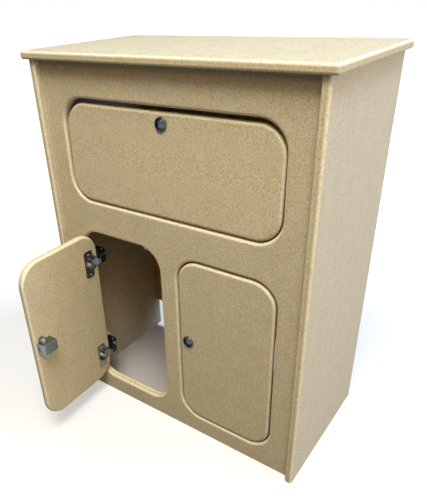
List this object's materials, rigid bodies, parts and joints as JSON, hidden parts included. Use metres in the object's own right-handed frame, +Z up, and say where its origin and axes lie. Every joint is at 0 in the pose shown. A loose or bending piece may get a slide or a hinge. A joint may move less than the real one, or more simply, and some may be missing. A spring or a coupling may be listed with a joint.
{
  "type": "camping kitchen cabinet",
  "caption": "Free-standing cabinet of bare board with an overhanging worktop, a drop-down flap over hinged doors, cup hinges and push-knob locks.",
  "frame": {"origin": "on the floor, at the middle of the front panel's lower edge", "axes": "+X to the right as seen from the front, +Y into the cabinet, +Z up"},
  "size_m": [0.624, 0.5023, 0.79],
  "materials": {
    "board": "bare medium-density fibreboard, sanded, unsealed",
    "timber": "planed softwood and beech, unsealed",
    "hinge_steel": "nickel-plated pressed steel",
    "black_metal": "black coated steel",
    "zinc": "die-cast zinc, satin",
    "chrome": "polished chrome plate",
    "white_plastic": "white moulded plastic",
    "screw_steel": "zinc-plated steel"
  },
  "bodies": {
    "carcass": {"worktop": "board", "side_panel_left": "board", "side_panel_right": "board", "front_panel": "board", "back_panel": "board", "shelf": "board", "centre_divider": "board", "worktop_battens": "timber", "batten_screws": "screw_steel", "carcass_dowels": "timber", "hinge_packers_left": "timber", "hinge_packers_right": "timber", "strike_left": "black_metal", "strike_right": "black_metal", "flap_keeper": "black_metal", "door_stops": "white_plastic", "strike_screws": "screw_steel", "hinge_plate_screws": "screw_steel", "hinge_arm_screws": "screw_steel", "hinge_arm_left_upper": "hinge_steel", "hinge_plate_left_upper": "black_metal", "hinge_arm_left_lower": "hinge_steel", "hinge_plate_left_lower": "black_metal", "hinge_arm_right_upper": "hinge_steel", "hinge_plate_right_upper": "black_metal", "hinge_arm_right_lower": "hinge_steel", "hinge_plate_right_lower": "black_metal", "hinge_arm_flap_left": "hinge_steel", "hinge_plate_flap_left": "black_metal", "hinge_arm_flap_right": "hinge_steel", "hinge_plate_flap_right": "black_metal"},
    "left_links": {"hinge_links_left": "hinge_steel"},
    "left_door": {"panel_left": "board", "cup_screws_left": "screw_steel", "lock_case_left": "zinc", "lock_bezel_left": "chrome", "hinge_cup_left_upper": "hinge_steel", "hinge_cup_left_lower": "hinge_steel"},
    "left_knob": {"lock_knob_left": "chrome"},
    "left_tongue": {"lock_tongue_left": "zinc"},
    "right_links": {"hinge_links_right": "hinge_steel"},
    "right_door": {"panel_right": "board", "cup_screws_right": "screw_steel", "lock_case_right": "zinc", "lock_bezel_right": "chrome", "hinge_cup_right_upper": "hinge_steel", "hinge_cup_right_lower": "hinge_steel"},
    "right_knob": {"lock_knob_right": "chrome"},
    "right_tongue": {"lock_tongue_right": "zinc"},
    "flap_links": {"hinge_links_flap": "hinge_steel"},
    "upper_flap": {"panel_flap": "board", "cup_screws_flap": "screw_steel", "lock_case_flap": "zinc", "lock_bezel_flap": "chrome", "hinge_cup_flap_left": "hinge_steel", "hinge_cup_flap_right": "hinge_steel"},
    "flap_knob": {"lock_knob_flap": "chrome"},
    "flap_tongue": {"lock_tongue_flap": "zinc"}
  },
  "joints": [
    {"name": "left_links_swing", "type": "hinge", "parent": "carcass", "child": "left_links", "pos_m": [-0.1998, 0.0045, 0.2395], "axis": [0, 0, 1], "range_deg": [-35.2, 2.8]},
    {"name": "left_door_swing", "type": "hinge", "parent": "left_links", "child": "left_door", "pos_m": [-0.21417, -0.00931, 0.2395], "axis": [0, 0, 1], "range_deg": [-9.8, 123.2]},
    {"name": "left_knob_push", "type": "slide", "parent": "left_door", "child": "left_knob", "axis": [-0.9994, -0.0349, 0], "range_m": [-0.013, 0]},
    {"name": "left_tongue_slide", "type": "slide", "parent": "left_door", "child": "left_tongue", "axis": [0.0349, -0.9994, 0], "range_m": [0, 0.013]},
    {"name": "right_links_swing", "type": "hinge", "parent": "carcass", "child": "right_links", "pos_m": [0.1998, 0.0045, 0.2395], "axis": [0, 0, 1], "range_deg": [-38, 0]},
    {"name": "right_door_swing", "type": "hinge", "parent": "right_links", "child": "right_door", "pos_m": [0.2195, 0.0015, 0.2395], "axis": [0, 0, 1], "range_deg": [0, 133]},
    {"name": "right_knob_push", "type": "slide", "parent": "right_door", "child": "right_knob", "axis": [0, -1, 0], "range_m": [-0.004, 0.009]},
    {"name": "right_tongue_slide", "type": "slide", "parent": "right_door", "child": "right_tongue", "axis": [-1, 0, 0], "range_m": [-0.009, 0.004]},
    {"name": "flap_links_swing", "type": "hinge", "parent": "carcass", "child": "flap_links", "pos_m": [0, 0.0045, 0.5442], "axis": [1, 0, 0], "range_deg": [-38.8, 0]},
    {"name": "upper_flap_swing", "type": "hinge", "parent": "flap_links", "child": "upper_flap", "pos_m": [0, 0.00178, 0.52446], "axis": [1, 0, 0], "range_deg": [0, 135.8]},
    {"name": "flap_knob_push", "type": "slide", "parent": "upper_flap", "child": "flap_knob", "axis": [0, -0.9994, 0.0349], "range_m": [-0.004, 0.009]},
    {"name": "flap_tongue_slide", "type": "slide", "parent": "upper_flap", "child": "flap_tongue", "axis": [0, 0.0349, 0.9994], "range_m": [-0.009, 0.004]}
  ],
  "couplings": [
    {"joint": "left_links_swing", "follows": "left_door_swing", "ratio": -0.28571},
    {"joint": "left_tongue_slide", "follows": "left_knob_push", "ratio": -1},
    {"joint": "right_links_swing", "follows": "right_door_swing", "ratio": -0.28571},
    {"joint": "right_tongue_slide", "follows": "right_knob_push", "ratio": -1},
    {"joint": "flap_links_swing", "follows": "upper_flap_swing", "ratio": -0.28571},
    {"joint": "flap_tongue_slide", "follows": "flap_knob_push", "ratio": -1}
  ]
}
